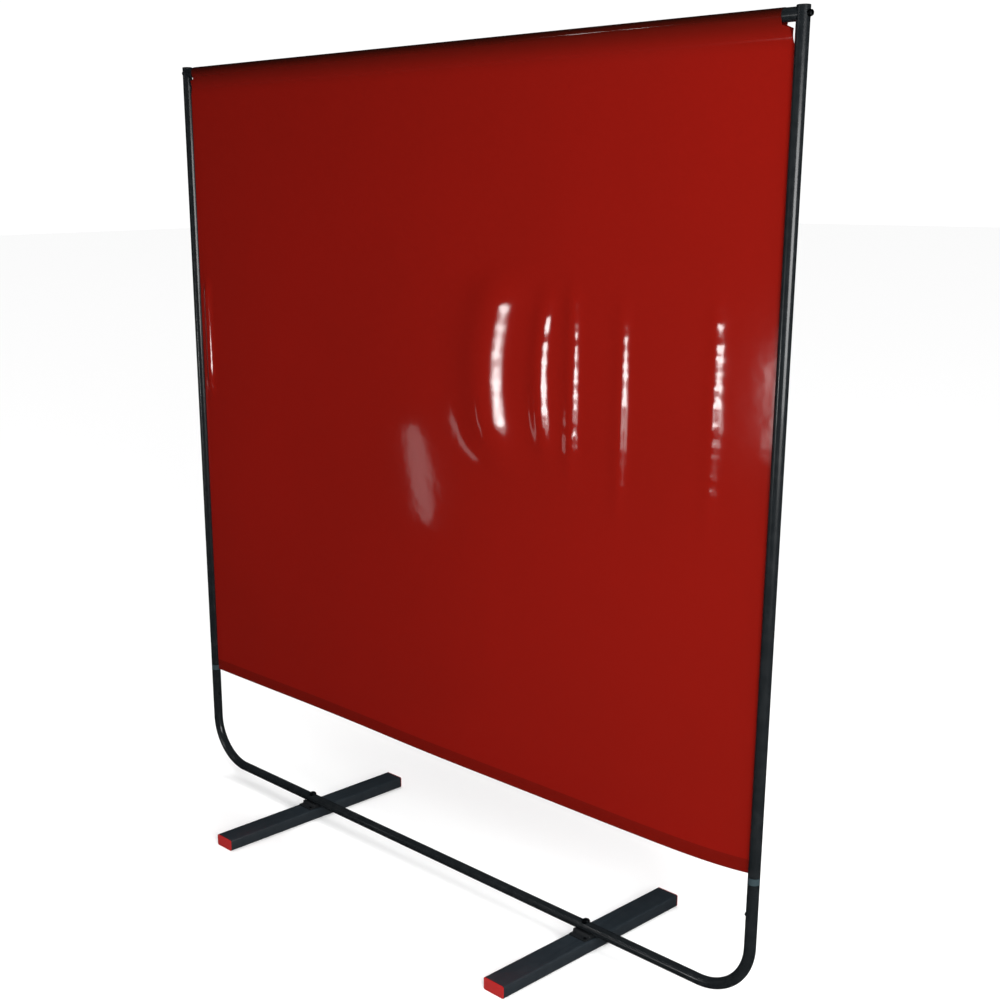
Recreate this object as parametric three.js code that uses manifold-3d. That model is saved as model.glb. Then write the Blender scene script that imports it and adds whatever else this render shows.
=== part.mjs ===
// Free-standing welding curtain screen: a tubular frame on two cross feet, with a red PVC film on its bar.
// Millimetres. X runs along the screen, -Y is the front and Z is up. The origin is on the floor, midway
// between the feet.

import * as THREE from "three";
import { mergeVertices } from "three/addons/utils/BufferGeometryUtils.js";
import Module from "manifold-3d";

// ---- Driving dimensions ----------------------------------------------------------------------------

const FIT = 0.3; // gap left between pieces that touch

const FRAME_WIDTH = 1910; // over the outsides of the uprights
const FRAME_HEIGHT = 2000; // floor to the top of the bar
const TUBE_DIAMETER = 25;
const TUBE_WALL = 1.5;
const BEND_RADIUS = 125; // centre line of the bends in the base tube
const LEG_HEIGHT = 321; // floor to the cut ends of the base tube

const CONNECTOR = { collar: 16, chamfer: 0.8, up: 90, down: 100, taper: 3 };
// drop: from the leg's cut end
const CONNECTOR_SCREW = { shank: 5, length: 13, head: 9, headHeight: 3, drop: 73, pilotPast: 1 };

const FOOT_SPACING = 1000; // between the centre lines of the feet
const FOOT = { length: 605, width: 60, height: 30, wall: 2, corner: 4 };
const FOOT_CAP = { rim: 2, edge: 0.6, plug: 20, wall: 2.5 };

// seat: thickness under the rail; lip: climb up its sides; margin: from the flange to the foot's rounded edge
const CRADLE = { seat: 6.9, lip: 3, wall: 2.5, draft: 2, flange: 3, corner: 3, margin: 1 };
const CRADLE_SCREW = { shank: 4, length: 16, head: 8, headHeight: 2.6, edge: 7, clearance: 3 };
const FOOT_BOLT = { shank: 8, head: 16, headHeight: 4.2, socket: 5, past: 2 }; // past: beyond the nut
const FOOT_WASHER = { diameter: 19, thickness: 1.2 };
// wall: round the bolt; flange and bulge: how much wider than the body each is, over its two sides
const RIVET_NUT = { wall: 0.9, length: 16, flange: 3.6, flangeHeight: 1, bulge: 3, bulgeHeight: 4 };

const BAR_TIP = 4; // the coped ends of the bar stop this far short of the upright's centre line
const BAR_INSERT = { length: 25, setback: 1.5 };
const BAR_BOLT = { shank: 6, acrossFlats: 10, headHeight: 4, grip: 16 }; // grip: length inside the insert
const BAR_WASHER = { diameter: 13, thickness: 1.4 };
const UPRIGHT_CAP = { crown: 2.2, edge: 0.9, plug: 7, wall: 2 };

const FILM = 0.4; // thickness of the film
const CURTAIN_SIDE_GAP = 1.5; // film edge to the upright's surface
const CURTAIN_BOTTOM = 325; // floor to the lower edge
const POCKET = { drop: 27.5, flap: 12, inset: 23 }; // drop: bar underside to weld; inset: from film edge
const SHOULDER = { inset: 8, top: 9.5, bottom: 45.5 }; // film edge cut back, between these drops from the bar
const HEM_HEIGHT = 30;

const ROUND = 24; // sides of a tube
const SMALL_ROUND = 16; // sides of a fastener
const ARC_STEPS = ROUND / 2; // an extruded arc gets twice this many sides to the turn
const CORNER_STEPS = 2;
const BEND_STEPS = 8;

// ---- Places worked out from them -------------------------------------------------------------------

const tubeRadius = TUBE_DIAMETER / 2;
const boreRadius = tubeRadius - TUBE_WALL;
const plugRadius = boreRadius - FIT; // what slips into a tube
const uprightX = FRAME_WIDTH / 2 - tubeRadius;
const uprightBottom = LEG_HEIGHT + CONNECTOR.collar;
const barZ = FRAME_HEIGHT - tubeRadius;
const footX = FOOT_SPACING / 2;
const cradleBottom = FOOT.height + FIT;
const railHeight = cradleBottom + CRADLE.seat + FIT + tubeRadius; // floor to the rail's centre line
const railTop = railHeight + tubeRadius;
const weldDrop = tubeRadius + POCKET.drop; // bar centre line to the weld
const nutBody = FOOT_BOLT.shank + 2 * (FIT + RIVET_NUT.wall);
const nutFlange = nutBody + RIVET_NUT.flange;
const nutBulge = nutBody + RIVET_NUT.bulge;
const cradleWidth = FOOT.width - 2 * (FOOT.corner + CRADLE.margin);
const cradleTopHalf = tubeRadius + CRADLE.wall;
const cradleFootHalf = cradleTopHalf + CRADLE.draft;
const cradleScrewX = cradleWidth / 2 - CRADLE_SCREW.edge;
const cradleScrewY = cradleFootHalf + CRADLE_SCREW.clearance + CRADLE_SCREW.head / 2;
const cradleLength = 2 * (cradleScrewY + CRADLE_SCREW.edge);
const connectorScrewZ = LEG_HEIGHT - CONNECTOR_SCREW.drop;

// ---- Finishes --------------------------------------------------------------------------------------

const finish = (color, roughness, metalness = 0) =>
  new THREE.MeshStandardMaterial({ color, roughness, metalness });
const GLOSS_BLACK = finish(0x15181b, 0.28);
const CHARCOAL = finish(0x2a2e31, 0.55);
const RED_PLASTIC = finish(0xb3201c, 0.4);
const BLACK_PLASTIC = finish(0x17191b, 0.6);
const GREY_PLASTIC = finish(0x4c5a5e, 0.45);
const BLACK_STEEL = finish(0x1d1f21, 0.4, 0.8);
const ZINC_STEEL = finish(0x9aa0a3, 0.35, 0.9);
const RED_FILM = finish(0x8c1712, 0.12);

// ---- Solid modelling helpers -----------------------------------------------------------------------

const wasm = await Module();
wasm.setup();

/** A closed geometry as a solid that can be joined and cut. */
function solid(geometry) {
  const bare = geometry.clone();
  bare.deleteAttribute("normal");
  bare.deleteAttribute("uv");
  const merged = mergeVertices(bare, 1e-4);
  const vertProperties = new Float32Array(merged.attributes.position.array);
  const triVerts = new Uint32Array(merged.index.array);
  return new wasm.Manifold(new wasm.Mesh({ numProp: 3, vertProperties, triVerts }));
}

/** Such a solid as a geometry again. */
function geometryOf(body) {
  const { vertProperties, triVerts } = body.getMesh();
  const geometry = new THREE.BufferGeometry();
  geometry.setAttribute("position", new THREE.BufferAttribute(new Float32Array(vertProperties), 3));
  geometry.setIndex(new THREE.BufferAttribute(new Uint32Array(triVerts), 1));
  return geometry;
}

/** The first geometry with each of the others taken away. */
function cut(geometry, ...cutters) {
  return geometryOf(cutters.reduce((body, cutter) => body.subtract(solid(cutter)), solid(geometry)));
}

/** Overlapping geometries as one. */
function join(geometry, ...others) {
  return geometryOf(others.reduce((body, other) => body.add(solid(other)), solid(geometry)));
}

/** What two geometries share. */
function common(geometry, other) {
  return geometryOf(solid(geometry).intersect(solid(other)));
}

/** A rod on the Z axis between two heights. */
function rodZ(diameter, bottom, top, sides = SMALL_ROUND) {
  const rod = new THREE.CylinderGeometry(diameter / 2, diameter / 2, top - bottom, sides);
  return rod.rotateX(Math.PI / 2).translate(0, 0, (top + bottom) / 2);
}

/** A rod on the X axis between two places. */
function rodX(diameter, from, to, sides = SMALL_ROUND) {
  return rodZ(diameter, from, to, sides).rotateY(Math.PI / 2);
}

/** A piece turned about Z, from its [radius, height] outline taken upwards. */
function turned(outline, sides = SMALL_ROUND) {
  const profile = outline.map(([radius, height]) => new THREE.Vector2(radius, height));
  return new THREE.LatheGeometry(profile, sides).rotateX(Math.PI / 2);
}

/** A plate of the given outline in XY, from z = 0 upwards. */
function plate(outline, depth, curveSegments = CORNER_STEPS) {
  return new THREE.ExtrudeGeometry(outline, { depth, bevelEnabled: false, curveSegments });
}

/** A length along X of a section drawn with Y across and Z up, centred on x = 0. */
function lengthX(section, length, curveSegments) {
  const axes = [new THREE.Vector3(0, 1, 0), new THREE.Vector3(0, 0, 1), new THREE.Vector3(1, 0, 0)];
  const turn = new THREE.Matrix4().makeBasis(...axes);
  return plate(section, length, curveSegments).translate(0, 0, -length / 2).applyMatrix4(turn);
}

/** A length along Y of a section drawn with X across and Z up, centred on y = 0. */
function lengthY(section, length, curveSegments) {
  return plate(section, length, curveSegments).translate(0, 0, -length / 2).rotateX(Math.PI / 2);
}

/** The section of a round tube. */
function ring(radius, bore) {
  const section = new THREE.Shape().absarc(0, 0, radius, 0, Math.PI * 2);
  section.holes.push(new THREE.Path().absarc(0, 0, bore, 0, Math.PI * 2));
  return section;
}

/** A rectangle with round corners, as a shape or as the hole in one. */
function roundedRectangle(width, height, corner, Outline = THREE.Shape) {
  const [x, y] = [width / 2 - corner, height / 2 - corner];
  return new Outline()
    .absarc(x, -y, corner, -Math.PI / 2, 0)
    .absarc(x, y, corner, 0, Math.PI / 2)
    .absarc(-x, y, corner, Math.PI / 2, Math.PI)
    .absarc(-x, -y, corner, Math.PI, Math.PI * 1.5);
}

/** The section of a box tube. */
function boxSection(width, height, wall, corner) {
  const section = roundedRectangle(width, height, corner);
  const inner = Math.max(corner - wall, 0.5);
  section.holes.push(roundedRectangle(width - 2 * wall, height - 2 * wall, inner, THREE.Path));
  return section;
}

/** A hexagon rod on the Z axis between two heights. */
function hexagonZ(acrossFlats, bottom, top) {
  return rodZ((2 * acrossFlats) / Math.sqrt(3), bottom, top, 6);
}

/** A hexagon bolt, its head standing on z = 0 and its shank of the given length hanging from it. */
function hexBolt({ shank, acrossFlats, headHeight }, length) {
  const [chamferStart, flatTop] = [headHeight * 0.8, acrossFlats * 0.46]; // the usual shape of a forged head
  const chamfer = turned([
    [0, -headHeight],
    [acrossFlats, -headHeight],
    [acrossFlats / Math.sqrt(3), chamferStart],
    [flatTop, headHeight],
    [0, headHeight],
  ]);
  const head = common(hexagonZ(acrossFlats, 0, headHeight), chamfer);
  return join(head, rodZ(shank, -length, headHeight / 2));
}

/** A bolt with a low domed head and a hexagon socket, standing on z = 0 with its shank hanging from it. */
function domedBolt({ shank, head, headHeight, socket }, length) {
  const domeSteps = 4;
  const [rim, flat] = [headHeight * 0.25, head * 0.2]; // upright edge of the head, and the dome's flat middle
  const dome = Array.from({ length: domeSteps + 1 }, (_, step) => {
    const angle = (Math.PI / 2) * (step / domeSteps);
    return [flat + (head / 2 - flat) * Math.cos(angle), rim + (headHeight - rim) * Math.sin(angle)];
  });
  const stem = [[0, -length], [shank / 2, -length], [shank / 2, 0]];
  const body = turned([...stem, [head / 2, 0], ...dome, [0, headHeight]]);
  return cut(body, hexagonZ(socket, headHeight * 0.45, headHeight * 2));
}

/** A pan-headed screw with a cross slot, its head standing on z = 0. */
function panScrew({ shank, length, head, headHeight }) {
  const [slotLength, slotWidth] = [head * 0.55, head * 0.14];
  const body = turned([
    [0, -length],
    [shank / 5, -length],
    [shank / 2, shank - length],
    [shank / 2, 0],
    [head / 2, 0],
    [head / 2, headHeight * 0.4],
    [head * 0.38, headHeight * 0.85],
    [0, headHeight],
  ]);
  const slot = (turn) =>
    new THREE.BoxGeometry(slotLength, slotWidth, headHeight).rotateZ(turn).translate(0, 0, headHeight);
  return cut(body, slot(0), slot(Math.PI / 2));
}

/** A washer hollowed underneath to sit on a tube along X, its seat FIT clear of a tube topped at z = 0. */
function saddleWasher({ diameter, thickness }, { shank }) {
  const skirt = tubeRadius - Math.sqrt(tubeRadius ** 2 - (diameter / 2) ** 2);
  const tube = rodX(TUBE_DIAMETER + 2 * FIT, -diameter, diameter, ROUND * 2).translate(0, 0, -tubeRadius);
  const hole = rodZ(shank + 2 * FIT, -diameter, diameter);
  const wrap = skirt * 0.8; // how far it is pressed down round the tube
  return cut(rodZ(diameter, -wrap, FIT + thickness), tube, hole);
}

const screen = new THREE.Group();

/** Adds one named piece to the screen. */
function piece(name, geometry, material, place = [0, 0, 0], turn = [0, 0, 0]) {
  const mesh = new THREE.Mesh(geometry, material);
  mesh.name = name;
  mesh.position.set(...place);
  mesh.rotation.set(...turn);
  screen.add(mesh);
}

const SIDES = { left: -1, right: 1 };
const ENDS = { front: -1, rear: 1 };

// ---- Base tube: both legs and the rail, bent from one length ----------------------------------------

/** Its centre line. Each straight is one step of it and each bend BEND_STEPS, whatever their lengths. */
class BaseLine extends THREE.Curve {
  constructor() {
    super();
    const bend = (centreX, start) =>
      Array.from({ length: BEND_STEPS + 1 }, (_, step) => {
        const angle = start + (Math.PI / 2) * (step / BEND_STEPS);
        const [x, z] = [Math.cos(angle), Math.sin(angle)];
        return {
          point: new THREE.Vector3(centreX + BEND_RADIUS * x, 0, railHeight + BEND_RADIUS * (1 + z)),
          tangent: new THREE.Vector3(-z, 0, x),
        };
      });
    this.stations = [
      { point: new THREE.Vector3(-uprightX, 0, LEG_HEIGHT), tangent: new THREE.Vector3(0, 0, -1) },
      ...bend(BEND_RADIUS - uprightX, Math.PI),
      ...bend(uprightX - BEND_RADIUS, Math.PI * 1.5),
      { point: new THREE.Vector3(uprightX, 0, LEG_HEIGHT), tangent: new THREE.Vector3(0, 0, 1) },
    ];
  }

  get steps() {
    return this.stations.length - 1;
  }

  getUtoTmapping(u) {
    return u;
  }

  getPoint(t) {
    return this.stations[Math.round(t * this.steps)].point.clone();
  }

  getTangent(t) {
    return this.stations[Math.round(t * this.steps)].tangent.clone();
  }
}

const baseLine = new BaseLine();
const bentTube = new THREE.ExtrudeGeometry(ring(tubeRadius, boreRadius), {
  steps: baseLine.steps,
  extrudePath: baseLine,
  bevelEnabled: false,
  curveSegments: ARC_STEPS,
});
const baseHoles = Object.values(SIDES).flatMap((sign) => {
  const bolt = rodZ(FOOT_BOLT.shank + 2 * FIT, railHeight - TUBE_DIAMETER, railHeight + TUBE_DIAMETER);
  const screw = rodX(CONNECTOR_SCREW.shank + 2 * FIT, -tubeRadius, tubeRadius);
  return [
    bolt.translate(sign * footX, 0, 0),
    screw.translate(sign * (uprightX - tubeRadius), 0, connectorScrewZ),
  ];
});
piece("base_tube", cut(bentTube, ...baseHoles), GLOSS_BLACK);

// ---- Connectors: turned plugs that join each upright to its leg, and the screws that keep them in ---

const connectorOutline = [
  [0, -CONNECTOR.down],
  [plugRadius - CONNECTOR.taper, -CONNECTOR.down],
  [plugRadius, -CONNECTOR.down + 2 * CONNECTOR.taper],
  [plugRadius, FIT],
  [tubeRadius - CONNECTOR.chamfer, FIT],
  [tubeRadius, FIT + CONNECTOR.chamfer],
  [tubeRadius, CONNECTOR.collar - FIT - CONNECTOR.chamfer],
  [tubeRadius - CONNECTOR.chamfer, CONNECTOR.collar - FIT],
  [plugRadius, CONNECTOR.collar - FIT],
  [plugRadius, CONNECTOR.collar + CONNECTOR.up - 2 * CONNECTOR.taper],
  [plugRadius - CONNECTOR.taper, CONNECTOR.collar + CONNECTOR.up],
  [0, CONNECTOR.collar + CONNECTOR.up],
];

const connectorPilotEnd = CONNECTOR_SCREW.length - tubeRadius + CONNECTOR_SCREW.pilotPast;
for (const [side, sign] of Object.entries(SIDES)) {
  const pilot = rodX(CONNECTOR_SCREW.shank + 2 * FIT, -tubeRadius, connectorPilotEnd)
    .rotateY(sign < 0 ? Math.PI : 0)
    .translate(0, 0, -CONNECTOR_SCREW.drop);
  const connector = cut(turned(connectorOutline, ROUND), pilot);
  piece(`${side}_tube_connector`, connector, GREY_PLASTIC, [sign * uprightX, 0, LEG_HEIGHT]);
  piece(
    `${side}_connector_screw`,
    panScrew(CONNECTOR_SCREW),
    BLACK_STEEL,
    [sign * (uprightX - tubeRadius - FIT), 0, connectorScrewZ],
    [0, (-sign * Math.PI) / 2, 0],
  );
}

// ---- Feet: box tubes with a red plug in each end ----------------------------------------------------

const footTube = lengthY(boxSection(FOOT.width, FOOT.height, FOOT.wall, FOOT.corner), FOOT.length);
const nutHole = rodZ(nutBody + 2 * FIT, 0, FOOT.height);
const cradleScrewPlaces = Object.values(ENDS).map((end) => [-end * cradleScrewX, end * cradleScrewY]);
const cradleScrewHoles = (bottom, top) =>
  cradleScrewPlaces.map(([x, y]) => rodZ(CRADLE_SCREW.shank + 2 * FIT, bottom, top).translate(x, y, 0));
const foot = cut(footTube, nutHole, ...cradleScrewHoles(0, FOOT.height));

const capPlug = {
  width: FOOT.width - 2 * (FOOT.wall + FIT),
  height: FOOT.height - 2 * (FOOT.wall + FIT),
  corner: Math.max(FOOT.corner - FOOT.wall - FIT, 0.5),
};
const capRim = new THREE.ExtrudeGeometry(
  roundedRectangle(
    FOOT.width - 2 * FOOT_CAP.edge,
    FOOT.height - 2 * FOOT_CAP.edge,
    FOOT.corner - FOOT_CAP.edge,
  ),
  {
    depth: FOOT_CAP.rim - 2 * FOOT_CAP.edge,
    bevelThickness: FOOT_CAP.edge,
    bevelSize: FOOT_CAP.edge,
    bevelSegments: 1,
    curveSegments: CORNER_STEPS,
  },
).translate(0, 0, FIT + FOOT_CAP.edge);
const capWalls = plate(
  boxSection(capPlug.width, capPlug.height, FOOT_CAP.wall, capPlug.corner),
  FOOT_CAP.plug + FIT + FOOT_CAP.rim / 2,
).translate(0, 0, -FOOT_CAP.plug);
const footCap = join(capRim, capWalls).rotateX(Math.PI / 2); // its face looks towards -Y

for (const [side, sign] of Object.entries(SIDES)) {
  piece(`${side}_foot`, foot, CHARCOAL, [sign * footX, 0, FOOT.height / 2]);
  for (const [end, way] of Object.entries(ENDS)) {
    const place = [sign * footX, (way * FOOT.length) / 2, FOOT.height / 2];
    piece(`${side}_foot_${end}_cap`, footCap, RED_PLASTIC, place, [0, 0, way < 0 ? 0 : Math.PI]);
  }
}

// ---- Cradles: moulded blocks that seat the round rail on the flat feet -------------------------------

const cradleTop = railHeight - tubeRadius + CRADLE.lip;
const cradleBlock = new THREE.Shape([
  new THREE.Vector2(-cradleFootHalf, cradleBottom),
  new THREE.Vector2(cradleFootHalf, cradleBottom),
  new THREE.Vector2(cradleFootHalf, cradleBottom + CRADLE.flange),
  new THREE.Vector2(cradleTopHalf, cradleTop),
  new THREE.Vector2(-cradleTopHalf, cradleTop),
  new THREE.Vector2(-cradleFootHalf, cradleBottom + CRADLE.flange),
]);
const cradleFlange = plate(roundedRectangle(cradleWidth, cradleLength, CRADLE.corner), CRADLE.flange);
const cradle = cut(
  join(cradleFlange.translate(0, 0, cradleBottom), lengthX(cradleBlock, cradleWidth)),
  rodX(TUBE_DIAMETER + 2 * FIT, -cradleWidth, cradleWidth, ROUND * 2).translate(0, 0, railHeight),
  rodZ(FOOT_BOLT.shank + 2 * FIT, 0, railHeight),
  rodZ(nutFlange + 2 * FIT, 0, cradleBottom + RIVET_NUT.flangeHeight + FIT),
  ...cradleScrewHoles(0, railHeight),
);

// ---- Foot fasteners: one domed bolt down through rail and cradle into a rivet nut, and two screws ----

const nutBore = FOOT_BOLT.shank / 2 + FIT;
const nutShoulder = -FOOT.wall - FIT;
const footBoltSeat = railTop + 2 * FIT + FOOT_WASHER.thickness;
const nutEnd = FOOT.height - FOOT.wall - RIVET_NUT.length;
const footBolt = domedBolt(FOOT_BOLT, footBoltSeat - nutEnd + FOOT_BOLT.past);
const rivetNut = turned([
  [nutBore, -FOOT.wall - RIVET_NUT.length],
  [nutBody / 2, -FOOT.wall - RIVET_NUT.length],
  [nutBody / 2, nutShoulder - RIVET_NUT.bulgeHeight],
  [nutBulge / 2, nutShoulder - RIVET_NUT.bulgeHeight / 2],
  [nutBulge / 2, nutShoulder],
  [nutBody / 2, nutShoulder],
  [nutBody / 2, FIT],
  [nutFlange / 2, FIT],
  [nutFlange / 2, FIT + RIVET_NUT.flangeHeight],
  [nutBore, FIT + RIVET_NUT.flangeHeight],
  [nutBore, -FOOT.wall - RIVET_NUT.length],
]);

for (const [side, sign] of Object.entries(SIDES)) {
  const x = sign * footX;
  piece(`${side}_rail_cradle`, cradle, BLACK_PLASTIC, [x, 0, 0]);
  piece(`${side}_foot_rivet_nut`, rivetNut, ZINC_STEEL, [x, 0, FOOT.height]);
  piece(`${side}_foot_washer`, saddleWasher(FOOT_WASHER, FOOT_BOLT), BLACK_STEEL, [x, 0, railTop]);
  piece(`${side}_foot_bolt`, footBolt, BLACK_STEEL, [x, 0, footBoltSeat]);
  Object.keys(ENDS).forEach((end, index) => {
    const [screwX, screwY] = cradleScrewPlaces[index];
    const place = [x + screwX, screwY, cradleBottom + CRADLE.flange + FIT];
    piece(`${side}_cradle_${end}_screw`, panScrew(CRADLE_SCREW), BLACK_STEEL, place);
  });
}

// ---- Uprights and top bar ---------------------------------------------------------------------------

const uprightTube = plate(ring(tubeRadius, boreRadius), FRAME_HEIGHT - uprightBottom, ARC_STEPS);
const barBoltHole = rodX(BAR_BOLT.shank + 2 * FIT, -TUBE_DIAMETER, TUBE_DIAMETER);
const upright = cut(uprightTube, barBoltHole.translate(0, 0, barZ - uprightBottom));

const uprightCap = join(
  turned([
    [0, FIT],
    [tubeRadius, FIT],
    [tubeRadius, FIT + UPRIGHT_CAP.crown - UPRIGHT_CAP.edge],
    [tubeRadius - UPRIGHT_CAP.edge, FIT + UPRIGHT_CAP.crown],
    [0, FIT + UPRIGHT_CAP.crown],
  ], ROUND),
  plate(ring(plugRadius, plugRadius - UPRIGHT_CAP.wall), UPRIGHT_CAP.plug + FIT, ARC_STEPS)
    .translate(0, 0, FIT / 2 - UPRIGHT_CAP.plug),
);

const barTube = lengthX(ring(tubeRadius, boreRadius), 2 * (uprightX - BAR_TIP), ARC_STEPS);
const copes = Object.values(SIDES).map((sign) =>
  rodZ(TUBE_DIAMETER + 2 * FIT, -TUBE_DIAMETER, TUBE_DIAMETER, ROUND * 2).translate(sign * uprightX, 0, 0),
);
piece("top_bar", cut(barTube, ...copes), GLOSS_BLACK, [0, 0, barZ]);

const insertEnd = -tubeRadius - FIT - BAR_INSERT.setback; // from the upright's centre line towards the middle
const barInsert = cut(
  rodX(2 * plugRadius, insertEnd - BAR_INSERT.length, insertEnd, ROUND),
  rodX(BAR_BOLT.shank + 2 * FIT, insertEnd - 2 * BAR_INSERT.length, 0),
);

const barBoltSeat = tubeRadius + 2 * FIT + BAR_WASHER.thickness; // from the upright's centre line outwards
const barBolt = hexBolt(BAR_BOLT, barBoltSeat - insertEnd + BAR_BOLT.grip);

for (const [side, sign] of Object.entries(SIDES)) {
  const turn = [0, 0, sign < 0 ? Math.PI : 0];
  const outwards = [0, (sign * Math.PI) / 2, 0];
  const surface = sign * (uprightX + tubeRadius);
  piece(`${side}_upright`, upright, GLOSS_BLACK, [sign * uprightX, 0, uprightBottom], turn);
  piece(`${side}_upright_cap`, uprightCap, BLACK_PLASTIC, [sign * uprightX, 0, FRAME_HEIGHT]);
  piece(`${side}_bar_insert`, barInsert, ZINC_STEEL, [sign * uprightX, 0, barZ], turn);
  piece(`${side}_bar_washer`, saddleWasher(BAR_WASHER, BAR_BOLT), BLACK_STEEL, [surface, 0, barZ], outwards);
  piece(`${side}_bar_bolt`, barBolt, BLACK_STEEL, [sign * (uprightX + barBoltSeat), 0, barZ], outwards);
}

// ---- Curtain: film with a welded pocket round the bar and a welded hem ------------------------------

const filmHalf = uprightX - tubeRadius - CURTAIN_SIDE_GAP;
const weldZ = barZ - weldDrop;

/** The angles about the bar where lines from a point on the weld touch a circle, front first. */
function tangentAngles(acrossY, radius) {
  const toWeld = Math.atan2(-weldDrop, acrossY);
  const spread = Math.acos(radius / Math.hypot(acrossY, weldDrop));
  return [toWeld - spread, toWeld + spread];
}

const pocketInside = tubeRadius + FIT;
const pocketOutside = pocketInside + FILM;
const [frontOutside] = tangentAngles(-FILM / 2, pocketOutside);
const [, rearOutside] = tangentAngles(FILM * 1.5, pocketOutside);
const [frontInside, rearInside] = tangentAngles(FILM / 2, pocketInside);
const filmSection = new THREE.Shape()
  .moveTo(FILM / 2, weldZ - POCKET.flap)
  .lineTo(FILM / 2, CURTAIN_BOTTOM + HEM_HEIGHT)
  .lineTo(FILM * 1.5, CURTAIN_BOTTOM + HEM_HEIGHT)
  .lineTo(FILM * 1.5, CURTAIN_BOTTOM)
  .lineTo(-FILM / 2, CURTAIN_BOTTOM)
  .lineTo(-FILM / 2, weldZ)
  .absarc(0, barZ, pocketOutside, frontOutside + Math.PI * 2, rearOutside, true)
  .lineTo(FILM * 1.5, weldZ)
  .lineTo(FILM * 1.5, weldZ - POCKET.flap);
const pocketSection = new THREE.Shape()
  .absarc(0, barZ, pocketInside, frontInside + Math.PI * 2, rearInside, true)
  .lineTo(FILM / 2, weldZ);

const cornerCuts = Object.values(SIDES).map((sign) => {
  const beyond = filmHalf + CURTAIN_SIDE_GAP;
  const outline = [
    [filmHalf - POCKET.inset, FRAME_HEIGHT + TUBE_DIAMETER],
    [filmHalf - POCKET.inset, barZ - tubeRadius - SHOULDER.top],
    [filmHalf - SHOULDER.inset, barZ - tubeRadius - SHOULDER.top],
    [filmHalf, barZ - tubeRadius - SHOULDER.bottom],
    [beyond, barZ - tubeRadius - SHOULDER.bottom],
    [beyond, FRAME_HEIGHT + TUBE_DIAMETER],
  ].map(([x, z]) => new THREE.Vector2(sign * x, z));
  return lengthY(new THREE.Shape(outline), 4 * TUBE_DIAMETER);
});
const film = lengthX(filmSection, 2 * filmHalf, ARC_STEPS);
const pocket = lengthX(pocketSection, 4 * filmHalf, ARC_STEPS);
piece("curtain", cut(film, pocket, ...cornerCuts), RED_FILM);

export default screen;
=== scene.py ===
"""A free-standing welding screen: a glossy red film curtain in a black round-tube frame on two cross feet."""

import math

import bmesh
import bpy
from mathutils import Matrix, Vector, noise


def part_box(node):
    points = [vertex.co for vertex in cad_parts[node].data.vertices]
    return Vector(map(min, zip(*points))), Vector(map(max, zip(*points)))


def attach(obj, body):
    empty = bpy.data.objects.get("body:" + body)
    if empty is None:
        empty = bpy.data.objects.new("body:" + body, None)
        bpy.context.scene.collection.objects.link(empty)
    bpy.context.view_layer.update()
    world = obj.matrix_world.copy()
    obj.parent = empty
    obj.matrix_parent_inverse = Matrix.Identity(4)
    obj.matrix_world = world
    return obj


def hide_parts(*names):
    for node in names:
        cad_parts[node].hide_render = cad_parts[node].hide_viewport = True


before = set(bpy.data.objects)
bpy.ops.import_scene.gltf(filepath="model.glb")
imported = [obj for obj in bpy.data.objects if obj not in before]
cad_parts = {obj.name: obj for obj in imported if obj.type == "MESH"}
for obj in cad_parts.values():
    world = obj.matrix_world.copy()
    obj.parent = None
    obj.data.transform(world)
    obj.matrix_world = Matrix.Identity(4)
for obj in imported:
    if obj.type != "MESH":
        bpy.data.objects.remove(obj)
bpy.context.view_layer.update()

# ---- Camera ----------------------------------------------------------------------------------------
# It stands to the front right of the screen, at about eye height, and looks a little down on it.

camera = bpy.data.objects.new("camera", bpy.data.cameras.new("camera"))
camera.data.sensor_width = 36
camera.data.lens = 52.93
camera.data.shift_x = 0.089
camera.data.shift_y = 0.082
heading = Matrix.Rotation(math.radians(47.61), 4, "Z")
tilt = Matrix.Rotation(math.radians(90 - 15.58), 4, "X")
roll = Matrix.Rotation(math.radians(-0.63), 4, "Z")
camera.matrix_world = Matrix.Translation((2.488, -2.349, 1.729)) @ heading @ tilt @ roll
bpy.context.scene.collection.objects.link(camera)
bpy.context.scene.camera = camera

# ---- Studio ----------------------------------------------------------------------------------------
# A plain pale floor and soft boxes. The floor and the pale surround are left out of reflections, as they are
# in a dark studio, so that gloss shows the lights alone and the film keeps its deep red.

FLOOR_REACH = 40  # metres of floor each way, so that its edge is out of sight


def colour(code):
    """An sRGB hex colour as linear red, green, blue and alpha."""
    parts = [int(code[i : i + 2], 16) / 255 for i in (0, 2, 4)]
    return [c / 12.92 if c <= 0.04045 else ((c + 0.055) / 1.055) ** 2.4 for c in parts] + [1]


def add_node(tree, kind, inputs=None, **settings):
    """A node with its settings, each of its inputs given a value or linked from an output."""
    node = tree.nodes.new(kind)
    for name, value in settings.items():
        setattr(node, name, value)
    for name, value in (inputs or {}).items():
        if isinstance(value, bpy.types.NodeSocket):
            tree.links.new(value, node.inputs[name])
        else:
            node.inputs[name].default_value = value
    return node


def start_material(name, **shader_inputs):
    """A material with one Principled shader: the material, its tree and the shader."""
    material = bpy.data.materials.new(name)
    material.use_nodes = True
    tree = material.node_tree
    tree.nodes.clear()
    sockets = {key.replace("_", " "): value for key, value in shader_inputs.items()}
    shader = add_node(tree, "ShaderNodeBsdfPrincipled", sockets)
    add_node(tree, "ShaderNodeOutputMaterial", {"Surface": shader.outputs["BSDF"]})
    return material, tree, shader


def add_object(name, mesh):
    obj = bpy.data.objects.new(name, mesh)
    bpy.context.scene.collection.objects.link(obj)
    return obj


bpy.context.scene.view_settings.view_transform = "Standard"

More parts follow.
